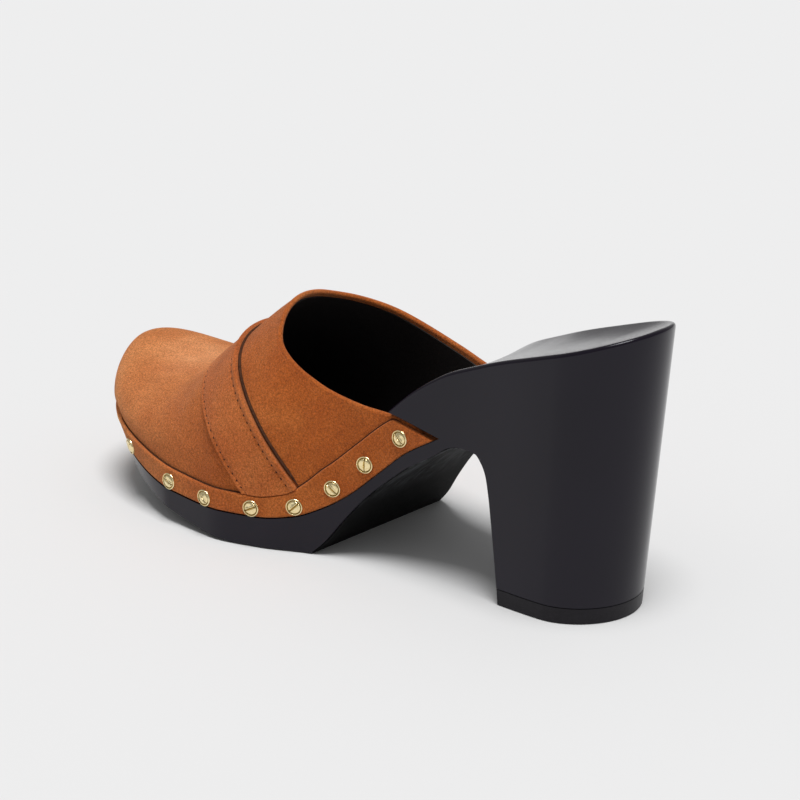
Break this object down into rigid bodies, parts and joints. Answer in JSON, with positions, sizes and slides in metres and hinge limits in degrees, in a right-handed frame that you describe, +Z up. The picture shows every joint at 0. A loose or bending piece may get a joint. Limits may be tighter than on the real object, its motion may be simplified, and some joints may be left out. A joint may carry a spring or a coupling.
{
  "type": "high block-heeled clog",
  "caption": "Left slip-on clog: suede mule upper with instep strap, nailed with brass studs round a black lacquered wooden sole with a high block heel.",
  "frame": {"origin": "middle of the footprint's bounding box, on the floor", "axes": "+X from heel to toe, +Y to the outer side of the foot, +Z up"},
  "size_m": [0.2433, 0.0924, 0.102],
  "materials": {
    "lacquered_wood": "high-gloss black lacquer over carved wood",
    "rubber": "matte black rubber sheet, lightly scuffed",
    "suede": "cognac suede with a soft mottled nap",
    "brass": "polished pale gold, slotted heads"
  },
  "bodies": {
    "root": {"sole": "lacquered_wood", "outsole": "rubber", "heel_tip": "rubber", "upper": "suede", "rand": "suede", "instep_strap": "suede", "stud_01": "brass", "stud_02": "brass", "stud_03": "brass", "stud_04": "brass", "stud_05": "brass", "stud_06": "brass", "stud_07": "brass", "stud_08": "brass", "stud_09": "brass", "stud_10": "brass", "stud_11": "brass", "stud_12": "brass", "stud_13": "brass", "stud_14": "brass", "stud_15": "brass", "stud_16": "brass", "stud_17": "brass", "stud_18": "brass", "stud_19": "brass", "stud_20": "brass"}
  },
  "joints": []
}
